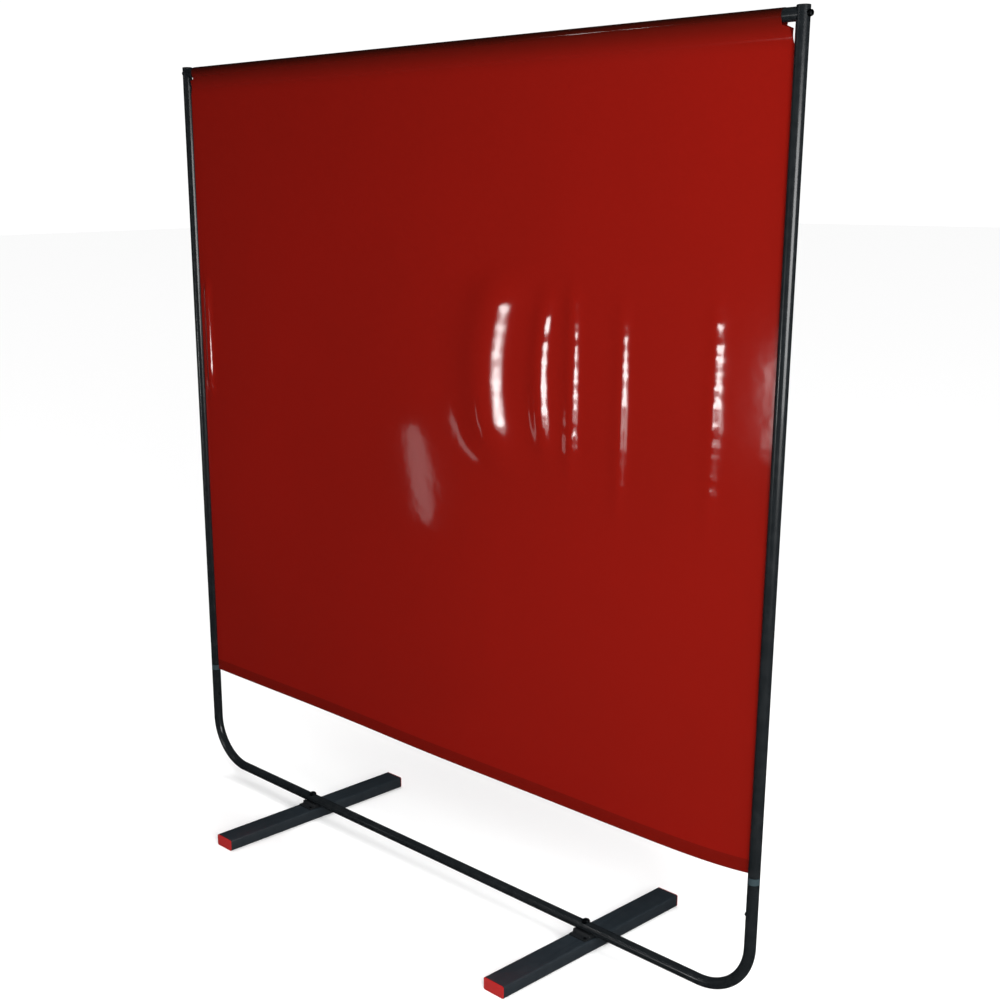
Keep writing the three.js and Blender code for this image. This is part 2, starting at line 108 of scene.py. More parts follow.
pale_floor, _, _ = start_material("pale_studio_floor", Base_Color=colour("FBFBFB"), Roughness=0.95)
floor_mesh = bpy.data.meshes.new("floor")
corners = [(-FLOOR_REACH, -FLOOR_REACH, 0), (FLOOR_REACH, -FLOOR_REACH, 0)]
corners += [(FLOOR_REACH, FLOOR_REACH, 0), (-FLOOR_REACH, FLOOR_REACH, 0)]
floor_mesh.from_pydata(corners, [], [(0, 1, 2, 3)])
floor_mesh.materials.append(pale_floor)
floor = add_object("floor", floor_mesh)
floor.visible_glossy = False

world = bpy.data.worlds.new("studio")
world.use_nodes = True
world.node_tree.nodes.clear()
rays = add_node(world.node_tree, "ShaderNodeLightPath")
backdrop = add_node(world.node_tree, "ShaderNodeBackground", {"Color": colour("FFFFFF"), "Strength": 1.05})
fill = add_node(world.node_tree, "ShaderNodeBackground", {"Color": colour("FFFFFF"), "Strength": 0.25})
unlit = add_node(world.node_tree, "ShaderNodeBackground", {"Color": colour("4A4E52"), "Strength": 0.12})
lit = add_node(
    world.node_tree,
    "ShaderNodeMixShader",
    {0: rays.outputs["Is Glossy Ray"], 1: fill.outputs[0], 2: unlit.outputs[0]},
)
seen = add_node(
    world.node_tree,
    "ShaderNodeMixShader",
    {0: rays.outputs["Is Camera Ray"], 1: lit.outputs[0], 2: backdrop.outputs[0]},
)
add_node(world.node_tree, "ShaderNodeOutputWorld", {"Surface": seen.outputs[0]})
bpy.context.scene.world = world


def soft_box(name, place, aim, width, height, power, shape="RECTANGLE"):
    """A lamp with a diffuser, turned to face the aim."""
    light = bpy.data.lights.new(name, "AREA")
    light.shape = shape
    light.size = width
    light.size_y = height
    light.energy = power
    box = bpy.data.objects.new(name, light)
    box.location = place
    box.visible_camera = False
    box.rotation_euler = (Vector(aim) - Vector(place)).to_track_quat("-Z", "Y").to_euler()
    bpy.context.scene.collection.objects.link(box)
    return box


# The key lights the film from the right and isn't reflected. The other boxes are there for their reflections:
# the glints in the film's folds, the low glow on its flat part, the high glints on the pocket over the bar,
# and the side panel along the right upright.
key = soft_box("key", (3.0, -2.0, 2.1), (0.6, 0, 1.2), 1.0, 1.6, 120)
key.visible_glossy = False
soft_box("glint", (-1.6, -4.33, 0.69), (0.45, 0, 1.33), 0.35, 0.36, 7.5)
soft_box("glint_halo", (-1.83, -4.33, 0.52), (0.45, 0, 1.25), 0.24, 0.48, 1.2)
soft_box("glint_spot", (-1.83, -4.33, 0.66), (0.45, 0, 1.33), 0.12, 0.06, 0.35)
soft_box("glint_tail", (-1.6, -4.33, 0.27), (0.45, 0, 1.25), 0.35, 0.45, 0.3)
glow = soft_box("low_glow", (-1.72, -1.5, 0.60), (-0.05, 0, 1.0), 0.13, 0.42, 0.16, "ELLIPSE")
glow.rotation_euler.rotate_axis("Z", math.radians(14))
soft_box("high_glint", (-2.3, -3.1, 2.7), (0.5, 0, 1.98), 0.16, 0.16, 1.6)
soft_box("high_glint_short", (-1.95, -3.1, 2.5), (0.5, 0, 1.98), 0.10, 0.12, 0.7)
soft_box("side_panel", (3.95, -1.1, 1.35), (0.94, 0, 1.5), 2.4, 1.15, 58)

# Daylight from overhead washes the floor white, and falls too steeply to show on the film.
overhead = bpy.data.lights.new("overhead", "SUN")
overhead.energy = 2.6
overhead.angle = math.radians(60)
overhead_lamp = bpy.data.objects.new("overhead", overhead)
overhead_lamp.visible_glossy = False
bpy.context.scene.collection.objects.link(overhead_lamp)

# ---- Steel tubes -----------------------------------------------------------------------------------
# The base tube is one length of 25 mm round steel tube, bent twice on a former. The uprights and the bar are
# straight lengths of the same tube, and the bar's ends are coped to sit round the uprights.

SIDES = (("left", -1), ("right", 1))
TUBE_WALL = 0.0015
BEND_RADIUS = 0.125
CLEARANCE = 0.0003  # between pieces that seat on each other
base_low, base_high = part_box("base_tube")
tube_radius = (base_high.y - base_low.y) / 2


def powder_coat(name, code, roughness):
    """Polyester powder, sprayed and baked into a skin with a faint orange peel, 2 to 3 mm across."""
    material, tree, shader = start_material(name, IOR=1.5, Coat_Weight=0.35, Coat_Roughness=0.08)
    place = add_node(tree, "ShaderNodeTexCoord").outputs["Object"]
    peel = add_node(tree, "ShaderNodeTexNoise", {"Vector": place, "Scale": 420, "Detail": 2})
    bump = add_node(
        tree,
        "ShaderNodeBump",
        {"Height": peel.outputs["Fac"], "Strength": 0.12, "Distance": 0.0004},
    )
    tree.links.new(bump.outputs["Normal"], shader.inputs["Normal"])
    handling = add_node(tree, "ShaderNodeTexNoise", {"Vector": place, "Scale": 9, "Detail": 5})
    dulled = add_node(
        tree,
        "ShaderNodeMapRange",
        {"Value": handling.outputs["Fac"], "To Min": roughness * 0.92, "To Max": roughness * 1.12},
    )
    tree.links.new(dulled.outputs["Result"], shader.inputs["Roughness"])
    dust = add_node(tree, "ShaderNodeTexNoise", {"Vector": place, "Scale": 55, "Detail": 6})
    film_of_dust = add_node(
        tree,
        "ShaderNodeMapRange",
        {"Value": dust.outputs["Fac"], "From Min": 0.45, "From Max": 0.8, "To Max": 0.02},
    )
    shade = add_node(
        tree,
        "ShaderNodeMix",
        {"Factor": film_of_dust.outputs["Result"], "A": colour(code), "B": colour("8D9092")},
        data_type="RGBA",
    )
    tree.links.new(shade.outputs["Result"], shader.inputs["Base Color"])
    return material


tube_black = powder_coat("gloss_black_powder_coat", "121517", 0.24)


def new_tree(name, **inputs):
    """A Geometry Nodes tree with named inputs of the given socket kinds: the tree and its input node."""
    tree = bpy.data.node_groups.new(name, "GeometryNodeTree")
    tree.interface.new_socket("Geometry", in_out="INPUT", socket_type="NodeSocketGeometry")
    for socket, kind in inputs.items():
        tree.interface.new_socket(socket, in_out="INPUT", socket_type=kind)
    tree.interface.new_socket("Geometry", in_out="OUTPUT", socket_type="NodeSocketGeometry")
    return tree, tree.nodes.new("NodeGroupInput")


def run_tree(obj, tree, **values):
    """Gives obj the tree as a modifier, with its inputs set by their sockets' identifiers."""
    modifier = obj.modifiers.new(tree.name, "NODES")
    modifier.node_group = tree
    for socket in tree.interface.items_tree:
        if socket.in_out == "INPUT" and socket.name in values:
            modifier[socket.identifier] = values[socket.name]


def settle(obj):
    """The object with its modifiers turned into a plain mesh."""
    evaluated = obj.evaluated_get(bpy.context.evaluated_depsgraph_get())
    obj.data = bpy.data.meshes.new_from_object(evaluated)
    obj.modifiers.clear()
    return obj


tube_tree, tube_in = new_tree(
    "tube_from_line", radius="NodeSocketFloat", bend="NodeSocketFloat", finish="NodeSocketMaterial"
)
line = add_node(tube_tree, "GeometryNodeMeshToCurve", {"Mesh": tube_in.outputs["Geometry"]})
bent = add_node(
    tube_tree,
    "GeometryNodeFilletCurve",
    {"Curve": line.outputs[0], "Radius": tube_in.outputs["bend"], "Count": 28},
    mode="POLY",
)
round_section = add_node(
    tube_tree, "GeometryNodeCurvePrimitiveCircle", {"Resolution": 72, "Radius": tube_in.outputs["radius"]}
)
skin = add_node(
    tube_tree,
    "GeometryNodeCurveToMesh",
    {"Curve": bent.outputs[0], "Profile Curve": round_section.outputs["Curve"]},
)
coated = add_node(
    tube_tree,
    "GeometryNodeSetMaterial",
    {"Geometry": skin.outputs[0], "Material": tube_in.outputs["finish"]},
)
plain = add_node(tube_tree, "GeometryNodeRealizeInstances", {"Geometry": coated.outputs[0]})
add_node(tube_tree, "NodeGroupOutput", {"Geometry": plain.outputs[0]})


def round_tube(name, points):
    """A steel tube along a line of points, bent where they turn, with its wall and open ends."""
    mesh = bpy.data.meshes.new(name)
    mesh.from_pydata(points, [(i, i + 1) for i in range(len(points) - 1)], [])
    tube = add_object(name, mesh)
    run_tree(tube, tube_tree, radius=tube_radius, bend=BEND_RADIUS, finish=tube_black)
    wall = tube.modifiers.new("wall", "SOLIDIFY")
    wall.thickness = TUBE_WALL
    wall.offset = -1
    settle(tube)
    tube.data.shade_smooth()
    return tube


def smooth_by_angle(obj, degrees=35):
    """Smooth shading, except over edges sharper than this."""
    obj.data.shade_smooth()
    obj.data.set_sharp_from_angle(angle=math.radians(degrees))


def fit(piece, body, slot, *nodes):
    """The piece stands for those nodes of the body."""
    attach(piece, body)
    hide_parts(*nodes)


leg_x = base_high.x - tube_radius
rail_z = base_low.z + tube_radius
leg_top = base_high.z
base_line = [(-leg_x, 0, leg_top), (-leg_x, 0, rail_z), (leg_x, 0, rail_z), (leg_x, 0, leg_top)]
base_tube = round_tube("bent_base_tube", base_line)
smooth_by_angle(base_tube)
fit(base_tube, "base", "gloss_black_tube", "base_tube")

for side, _ in SIDES:
    low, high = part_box(f"{side}_upright")
    x = (low.x + high.x) / 2
    upright = round_tube(f"{side}_upright_tube", [(x, 0, low.z), (x, 0, high.z)])
    smooth_by_angle(upright)
    fit(upright, "upper_frame", "gloss_black_tube", f"{side}_upright")

bar_low, bar_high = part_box("top_bar")
bar_z = (bar_low.z + bar_high.z) / 2
bar = round_tube("hanging_bar", [(bar_low.x, 0, bar_z), (bar_high.x, 0, bar_z)])
for _, way in SIDES:
    cutter_mesh = bpy.data.meshes.new("cope")
    cutter_bm = bmesh.new()
    bmesh.ops.create_cone(
        cutter_bm,
        cap_ends=True,
        segments=96,
        radius1=tube_radius + CLEARANCE,
        radius2=tube_radius + CLEARANCE,
        depth=0.1,
        matrix=Matrix.Translation((way * leg_x, 0, bar_z)),
    )
    cutter_bm.to_mesh(cutter_mesh)
    cutter_bm.free()
    cutter = add_object("cope", cutter_mesh)
    cope = bar.modifiers.new("cope", "BOOLEAN")
    cope.operation = "DIFFERENCE"
    cope.solver = "EXACT"
    cope.object = cutter
    settle(bar)
    bpy.data.objects.remove(cutter)
smooth_by_angle(bar)
fit(bar, "upper_frame", "gloss_black_tube", "top_bar")

# ---- Tube connectors -------------------------------------------------------------------------------
# A grey nylon plug, turned with a collar as wide as the tube. Each upright drops over its upper half, and a
# screw from the inner side holds its lower half in the leg.

CONNECTOR_CHAMFER = 0.0008
CONNECTOR_TAPER = 0.003
COLLAR = 0.0157


def turned(name, profile, sides=72):
    """A solid of revolution about Z from its (radius, height) profile, which starts and ends on the axis."""
    bm = bmesh.new()
    rings = []
    for radius, height in profile:
        if radius == 0:
            rings.append([bm.verts.new((0, 0, height))])
            continue
        turns = [2 * math.pi * step / sides for step in range(sides)]
        rings.append([bm.verts.new((radius * math.cos(a), radius * math.sin(a), height)) for a in turns])
    for lower, upper in zip(rings, rings[1:]):
        for step in range(sides):
            ring = [lower[step % len(lower)], lower[(step + 1) % len(lower)]]
            ring += [upper[(step + 1) % len(upper)], upper[step % len(upper)]]
            bm.faces.new(list(dict.fromkeys(ring)))
    bmesh.ops.recalc_face_normals(bm, faces=bm.faces)
    mesh = bpy.data.meshes.new(name)
    bm.to_mesh(mesh)
    bm.free()
    return mesh


def moulded(name, code, roughness, grain=900):
    """Injection-moulded plastic: an even satin skin with the fine spark-eroded grain of the mould."""
    material, tree, shader = start_material(name, Base_Color=colour(code), Roughness=roughness, IOR=1.5)
    place = add_node(tree, "ShaderNodeTexCoord").outputs["Object"]
    spark = add_node(tree, "ShaderNodeTexNoise", {"Vector": place, "Scale": grain, "Detail": 3})
    bump = add_node(
        tree,
        "ShaderNodeBump",
        {"Height": spark.outputs["Fac"], "Strength": 0.15, "Distance": 0.0002},
    )
    tree.links.new(bump.outputs["Normal"], shader.inputs["Normal"])
    return material


grey_nylon = moulded("moulded_grey_nylon", "26353A", 0.5)
plug_radius = tube_radius - TUBE_WALL - CLEARANCE
for side, way in SIDES:
    low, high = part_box(f"{side}_tube_connector")
    start = leg_top + CLEARANCE
    end = leg_top + COLLAR
    outline = [(0, low.z), (plug_radius - CONNECTOR_TAPER, low.z)]
    outline += [(plug_radius, low.z + 2 * CONNECTOR_TAPER), (plug_radius, start)]
    outline += [(tube_radius - CONNECTOR_CHAMFER, start), (tube_radius, start + CONNECTOR_CHAMFER)]
    outline += [(tube_radius, end - CONNECTOR_CHAMFER), (tube_radius - CONNECTOR_CHAMFER, end)]
    outline += [(plug_radius, end), (plug_radius, high.z - 2 * CONNECTOR_TAPER)]
    outline += [(plug_radius - CONNECTOR_TAPER, high.z), (0, high.z)]
    mesh = turned(f"{side}_connector", outline)
    mesh.transform(Matrix.Translation((way * leg_x, 0, 0)))
    mesh.materials.append(grey_nylon)
    connector = add_object(f"{side}_connector", mesh)
    smooth_by_angle(connector)
    fit(connector, "base", "grey_plastic", f"{side}_tube_connector")

# ---- Feet, end caps and cradles --------------------------------------------------------------------
# The feet are 60 x 30 mm steel box tube, sawn off and powder coated. Each end is closed by a red polyethylene
# plug, and a black nylon cradle seats the round rail on the flat top. Each edge is eased as the real one is.

foot_charcoal = powder_coat("satin_charcoal_powder_coat", "1E2429", 0.5)
red_polyethylene = moulded("moulded_red_polyethylene", "A00402", 0.62, grain=500)
black_nylon = moulded("moulded_black_nylon", "16181A", 0.5)


def eased_copy(name, node, material, edge):
    """A copy of a flat-sided node, with its doubles merged and its edges rounded."""
    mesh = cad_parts[node].data.copy()
    mesh.name = name
    bm = bmesh.new()
    bm.from_mesh(mesh)
    bmesh.ops.remove_doubles(bm, verts=bm.verts, dist=1e-6)
    bmesh.ops.dissolve_limit(bm, angle_limit=math.radians(1), verts=bm.verts, edges=bm.edges)
    bm.to_mesh(mesh)
    bm.free()
    mesh.materials.clear()
    mesh.materials.append(material)
    obj = add_object(name, mesh)
    round_over = obj.modifiers.new("eased", "BEVEL")
    round_over.width = edge
    round_over.segments = 3
    round_over.limit_method = "ANGLE"
    round_over.angle_limit = math.radians(40)
    settle(obj)
    smooth_by_angle(obj)
    return obj


for side, _ in SIDES:
    foot = eased_copy(f"{side}_cross_foot", f"{side}_foot", foot_charcoal, 0.0003)
    fit(foot, "base", "charcoal_foot", f"{side}_foot")
    cradle = eased_copy(f"{side}_cradle", f"{side}_rail_cradle", black_nylon, 0.0005)
    fit(cradle, "base", "black_plastic", f"{side}_rail_cradle")
    for end in ("front", "rear"):
        cap = eased_copy(f"{side}_{end}_end_cap", f"{side}_foot_{end}_cap", red_polyethylene, 0.0005)
        fit(cap, "base", "red_plastic", f"{side}_foot_{end}_cap")

# ---- Upright caps ----------------------------------------------------------------------------------
# A black nylon plug pushed into the open top of each upright, with a low domed head.

DOME_STEPS = 8
RIM_SHARE = 0.45  # of the head's rise, up to where its rounded shoulder starts
SHOULDER_SHARE = 0.25  # of the head's radius, taken by the shoulder

for side, way in SIDES:
    low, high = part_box(f"{side}_upright_cap")
    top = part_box(f"{side}_upright")[1].z + CLEARANCE
    dome = [(0, low.z), (plug_radius, low.z), (plug_radius, top), (tube_radius, top)]
    rise = high.z - top
    for step in range(DOME_STEPS):
        turn = math.pi / 2 * step / DOME_STEPS
        lift = rise * (RIM_SHARE + (1 - RIM_SHARE) * math.sin(turn))
        dome.append((tube_radius * (1 - SHOULDER_SHARE * (1 - math.cos(turn))), top + lift))
    dome.append((0, high.z))
    mesh = turned(f"{side}_top_cap", dome)
    mesh.transform(Matrix.Translation((way * leg_x, 0, 0)))
    mesh.materials.append(black_nylon)
    cap = add_object(f"{side}_top_cap", mesh)
    smooth_by_angle(cap)
    fit(cap, "upper_frame", "black_plastic", f"{side}_upright_cap")

# ---- Fasteners -------------------------------------------------------------------------------------
# Black-oxide steel: domed socket bolts at the feet and hexagon bolts at the bar, all on saddle washers, and
# pan-headed screws in the cradles and the legs. Zinc-plated inserts take the bolts, out of sight in the tubes.

FOOT_HEAD = 0.0042
BAR_HEAD = 0.004
CRADLE_HEAD = 0.0026
LEG_HEAD = 0.003
POINT = 0.001  # how far a bolt's end tapers


def machined_steel(name, code, roughness):
    """Cold-headed steel with a thin plated or blackened skin, finely scored by its making."""
    material, tree, shader = start_material(name, Metallic=1.0, Base_Color=colour(code))
    place = add_node(tree, "ShaderNodeTexCoord").outputs["Object"]
    score = add_node(tree, "ShaderNodeTexNoise", {"Vector": place, "Scale": 1400, "Detail": 4})
    worn = add_node(
        tree,
        "ShaderNodeMapRange",
        {"Value": score.outputs["Fac"], "To Min": roughness * 0.75, "To Max": roughness * 1.3},
    )
    tree.links.new(worn.outputs["Result"], shader.inputs["Roughness"])
    bump = add_node(
        tree,
        "ShaderNodeBump",
        {"Height": score.outputs["Fac"], "Strength": 0.1, "Distance": 0.0001},
    )
    tree.links.new(bump.outputs["Normal"], shader.inputs["Normal"])
    return material


black_oxide = machined_steel("black_oxide_steel", "34373A", 0.36)
bright_zinc = machined_steel("bright_zinc_plate", "B9BDC0", 0.3)

place_tree, place_in = new_tree(
    "fasteners_at_points", fastener="NodeSocketObject", finish="NodeSocketMaterial"
)
pattern = add_node(
    place_tree,
    "GeometryNodeObjectInfo",
    {"Object": place_in.outputs["fastener"]},
    transform_space="ORIGINAL",
)
turn_of = add_node(
    place_tree, "GeometryNodeInputNamedAttribute", {"Name": "turn"}, data_type="FLOAT_VECTOR"
)
turned_to = add_node(place_tree, "FunctionNodeEulerToRotation", {"Euler": turn_of.outputs["Attribute"]})
set_out = add_node(
    place_tree,
    "GeometryNodeInstanceOnPoints",
    {
        "Points": place_in.outputs["Geometry"],
        "Instance": pattern.outputs["Geometry"],
        "Rotation": turned_to.outputs["Rotation"],
    },
)
real = add_node(place_tree, "GeometryNodeRealizeInstances", {"Geometry": set_out.outputs[0]})
finished = add_node(
    place_tree,
    "GeometryNodeSetMaterial",
    {"Geometry": real.outputs[0], "Material": place_in.outputs["finish"]},
)
add_node(place_tree, "NodeGroupOutput", {"Geometry": finished.outputs[0]})


def place_fasteners(name, pattern_mesh, places, body, slot, nodes):
    """One mesh of like fasteners, each at its (place, turn)."""
    pattern_object = add_object(f"{name}_pattern", pattern_mesh)
    points = bpy.data.meshes.new(name)
    points.from_pydata([place for place, _ in places], [], [])
    turns = points.attributes.new("turn", "FLOAT_VECTOR", "POINT")
    for index, (_, turn) in enumerate(places):
        turns.data[index].vector = turn
    piece = add_object(name, points)
    run_tree(piece, place_tree, fastener=pattern_object, finish=black_oxide)
    settle(piece)
    bpy.data.objects.remove(pattern_object)
    smooth_by_angle(piece, 30)
    fit(piece, body, slot, *nodes)


def boolean_mesh(mesh, other, operation):
    """The first mesh cut by, or kept inside, the second."""
    subject = add_object("subject", mesh)
    tool = add_object("tool", other)
    cut = subject.modifiers.new("cut", "BOOLEAN")
    cut.operation = operation
    cut.solver = "EXACT"
    cut.object = tool
    settle(subject)
    result = subject.data
    bpy.data.objects.remove(subject)
    bpy.data.objects.remove(tool)
    return result


def stem_outline(shank, length):
    """The half section of a plain shank below z = 0, with its end tapered."""
    return [(0, -length), (shank * 0.4, -length), (shank / 2, POINT - length), (shank / 2, 0)]


def hex_bolt(across, head, shank, length):
    """A hexagon head with its chamfered top, its underside on z = 0, and a plain shank below."""
    corner = across / math.sqrt(3)
    prism = turned("prism", [(0, 0), (corner, 0), (corner, head), (0, head)], sides=6)
    cone = [(0, -0.001), (corner * 1.02, -0.001), (corner * 1.02, head - 0.0011)]
    cone += [(across * 0.46, head - 0.0001), (across * 0.44, head), (0, head)]
    bolt = boolean_mesh(prism, turned("chamfer", cone), "INTERSECT")
    stem = turned("stem", stem_outline(shank, length) + [(0, 0)])
    bm = bmesh.new()
    bm.from_mesh(bolt)
    bm.from_mesh(stem)
    bm.to_mesh(bolt)
    bm.free()
    return bolt


def domed_bolt(head, rise, shank, length, across_socket):
    """A low domed head with a hexagon socket, its underside on z = 0, and a plain shank below."""
    rim = rise * 0.25
    flat = head * 0.2
    outline = stem_outline(shank, length) + [(head / 2, 0)]
    for step in range(DOME_STEPS + 1):
        turn = math.pi / 2 * step / DOME_STEPS
        outline.append((flat + (head / 2 - flat) * math.cos(turn), rim + (rise - rim) * math.sin(turn)))
    bolt = turned("domed_bolt", outline + [(0, rise)])
    corner = across_socket / math.sqrt(3)
    recess = [(0, rise * 0.45), (corner, rise * 0.45), (corner, rise * 2), (0, rise * 2)]
    return boolean_mesh(bolt, turned("socket", recess, sides=6), "DIFFERENCE")


def pan_screw(head, rise, shank, length):
    """A pan head with a cross slot, its underside on z = 0, and a pointed shank below."""
    outline = [(0, -length), (shank / 5, -length), (shank / 2, shank - length), (shank / 2, 0)]
    outline += [(head / 2, 0), (head / 2, rise * 0.4), (head * 0.46, rise * 0.7)]
    outline += [(head * 0.38, rise * 0.9), (head * 0.2, rise), (0, rise)]
    screw = turned("screw", outline, sides=48)
    for turn in (0, math.pi / 2):
        bm = bmesh.new()
        size = Matrix.Diagonal((head * 0.55, head * 0.14, rise, 1))
        shift = Matrix.Translation((0, 0, rise))
        bmesh.ops.create_cube(bm, size=1, matrix=Matrix.Rotation(turn, 4, "Z") @ shift @ size)
        slot_mesh = bpy.data.meshes.new("slot")
        bm.to_mesh(slot_mesh)
        bm.free()
        screw = boolean_mesh(screw, slot_mesh, "DIFFERENCE")
    return screw


def centre_of(node):
    low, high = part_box(node)
    return (low + high) / 2


def span(node, axis):
    low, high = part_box(node)
    return high[axis] - low[axis]


places = []
for side, _ in SIDES:
    middle = centre_of(f"{side}_foot_bolt")
    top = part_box(f"{side}_foot_bolt")[1].z
    places.append(((middle.x, 0, top - FOOT_HEAD), (0, 0, 0)))
reach = span("left_foot_bolt", 2) - FOOT_HEAD
bolt = domed_bolt(head=0.016, rise=FOOT_HEAD, shank=0.008, length=reach, across_socket=0.005)
nodes = [f"{side}_foot_bolt" for side, _ in SIDES]
place_fasteners("foot_bolts", bolt, places, "base", "black_steel", nodes)

places = []
for side, way in SIDES:
    low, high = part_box(f"{side}_bar_bolt")
    outer = high.x if way > 0 else low.x
    places.append(((outer - way * BAR_HEAD, 0, bar_z), (0, way * math.pi / 2, 0)))
bolt = hex_bolt(across=0.010, head=BAR_HEAD, shank=0.006, length=span("left_bar_bolt", 0) - BAR_HEAD)
nodes = [f"{side}_bar_bolt" for side, _ in SIDES]
place_fasteners("bar_bolts", bolt, places, "upper_frame", "black_steel", nodes)

places = []
nodes = []
for side, _ in SIDES:
    for end in ("front", "rear"):
        node = f"{side}_cradle_{end}_screw"
        middle = centre_of(node)
        under_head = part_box(node)[1].z - CRADLE_HEAD
        slot_turn = math.radians(20 + 31 * len(nodes))
        places.append(((middle.x, middle.y, under_head), (0, 0, slot_turn)))
        nodes.append(node)
screw = pan_screw(head=0.008, rise=CRADLE_HEAD, shank=0.004, length=0.016)
place_fasteners("cradle_screws", screw, places, "base", "black_steel", nodes)

places = []
for side, way in SIDES:
    low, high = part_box(f"{side}_connector_screw")
    outer = low.x if way > 0 else high.x
    places.append(((outer + way * LEG_HEAD, 0, (low.z + high.z) / 2), (0, -way * math.pi / 2, 0)))
screw = pan_screw(head=0.009, rise=LEG_HEAD, shank=0.005, length=0.013)
nodes = [f"{side}_connector_screw" for side, _ in SIDES]
place_fasteners("leg_screws", screw, places, "base", "black_steel", nodes)

for side, _ in SIDES:
    for node in (f"{side}_foot_washer", f"{side}_bar_washer"):
        body = "base" if "foot" in node else "upper_frame"
        washer = eased_copy(f"{node}_pressed", node, black_oxide, 0.0002)
        fit(washer, body, "black_steel", node)
    for node in (f"{side}_foot_rivet_nut", f"{side}_bar_insert"):
        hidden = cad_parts[node]
        hidden.data.materials.clear()
        hidden.data.materials.append(bright_zinc)

# ---- Curtain ---------------------------------------------------------------------------------------
# Glossy red PVC film, 0.4 mm thick. A pocket for the bar is folded and welded at the top, with the film cut
# back at its top corners, and a hem is folded and welded at the bottom. It hangs nearly flat, with five short
# folds across the right half's middle heights and one by the left edge.

FILM = 0.0004
HEM = 0.030
WELD = 0.006
POCKET_DROP = 0.040
POCKET_FLAP = 0.012
POCKET_INSET = 0.023  # how far the pocket stops short of the panel's edges
SHOULDER_INSET = 0.008
SHOULDER_TOP = 0.022
SHOULDER_BOTTOM = 0.058
film_low, film_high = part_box("curtain")
half_width = film_high.x
bottom = film_low.z
weld_z = bar_z - POCKET_DROP
pocket_radius = tube_radius + CLEARANCE + FILM / 2

FLAP_Y = FILM * 1.1  # where the folded-back layers lie, just behind the panel

# The heights between which the folds lie, where the film's rows are closer.
FOLDED_FROM = 0.85
FOLDED_TO = 1.55

# The panel leaves the bar at its front and comes back to the weld from its rear, along tangents.
tangent = math.acos(pocket_radius / POCKET_DROP)
front_angle = -math.pi / 2 - tangent
rear_angle = -math.pi / 2 + tangent


def run_of(start, end, count):
    """Points from start up to but not including end."""
    return [Vector(start).lerp(Vector(end), step / count) for step in range(count)]


def on_bar(angle):
    return (pocket_radius * math.cos(angle), bar_z + pocket_radius * math.sin(angle))


# The profile of the film, from the hem's free edge round the bar to the pocket's flap, as (y, z).
profile = run_of((FLAP_Y, bottom + HEM), (FLAP_Y, bottom + FILM), 6)
profile += run_of((FLAP_Y / 2, bottom), (0, bottom + FILM), 2)
profile += run_of((0, bottom + FILM), (0, bottom + HEM), 6)
profile += run_of((0, bottom + HEM), (0, FOLDED_FROM), 24)
profile += run_of((0, FOLDED_FROM), (0, FOLDED_TO), 118)
profile += run_of((0, FOLDED_TO), (0, weld_z - POCKET_FLAP), 16)
profile += run_of((0, weld_z - POCKET_FLAP), (0, weld_z), 4)
profile += run_of((0, weld_z), on_bar(front_angle), 6)
sweep_angle = 2 * math.pi - 2 * tangent
arc = [front_angle - sweep_angle * step / 24 for step in range(24)]
profile += [Vector(on_bar(angle)) for angle in arc]
profile += run_of(on_bar(rear_angle), (FLAP_Y, weld_z), 6)
profile += run_of((FLAP_Y, weld_z), (FLAP_Y, weld_z - POCKET_FLAP), 4)
profile.append(Vector((FLAP_Y, weld_z - POCKET_FLAP)))


def ease(value, start, end):
    """0 before start, 1 after end and smooth between them; start may be the larger."""
    share = min(max((value - start) / (end - start), 0), 1)
    return share * share * (3 - 2 * share)


# Each fold: its place across the film, its width, how steeply its flanks turn in degrees, how far that slope
# wavers along it, the heights that it spans, and how far its middle bows to the left.
FOLDS = (
    (0.232, 0.048, 9.15, 0.15, 1.04, 1.55, 0.070),
    (0.364, 0.018, 8.5, 1.0, 1.08, 1.52, 0.034),
    (0.424, 0.014, 7.9, 2.0, 1.03, 1.54, 0),
    (0.557, 0.013, 6.1, 1.1, 0.95, 1.52, 0),
    (0.786, 0.013, 3.3, 1.8, 0.95, 1.54, 0),
    (-0.897, 0.009, 23.5, 0.5, 1.10, 1.48, 0),
)
STEEPEST = 0.607  # the steepest slope of a bell curve, for a height and a width of 1
BROAD_WAVE = 0.006
NARROW_WAVE = 0.0016
UNEVENNESS = 0.0006


def stand_out(x, z):
    """How far the hanging film stands out from its plane, in metres."""
    free = ease(z, weld_z - 0.01, weld_z - 0.30) * ease(abs(x), half_width + 0.02, half_width - 0.40)
    wide = BROAD_WAVE * math.sin(2.3 * x + 0.6) * math.sin(1.7 * z) * ease(x, 0.75, -0.05)
    wide += NARROW_WAVE * math.sin(7.1 * x + 0.9 * z + 1.1) * ease(x, 0.6, 0.2)
    total = wide * free
    for place, width, slope, ripple, low, high, bow in FOLDS:
        share = 2 * (z - low) / (high - low) - 1
        away = (x - place + bow * (1 - share * share)) / width
        if abs(away) > 4 or abs(share) > 1:
            continue
        steep = slope + ripple * noise.noise(Vector((place * 90, 0, z * 48)))
        rise = width * math.tan(math.radians(steep)) / STEEPEST
        middle = ease(z, low, low + 0.3 * (high - low)) * ease(z, high, high - 0.2 * (high - low))
        total += rise * math.exp(-away * away / 2) * middle
    total += UNEVENNESS * free * noise.noise(Vector((x * 6, 3.7, z * 6)))
    return total


# The film's columns, as shares of its half-width: closer where the folds lie.
columns = [-1 + 0.004 * step for step in range(20)] + [-0.9 + 0.03 * step for step in range(33)]
columns += [0.09 + 0.0072 * step for step in range(126)] + [1.0]
RIGHT_LIFT = 0.015  # how far the lower right corner is drawn up
film_bm = bmesh.new()
film_uv = film_bm.loops.layers.uv.new("film")
grid = []
drawn = 0

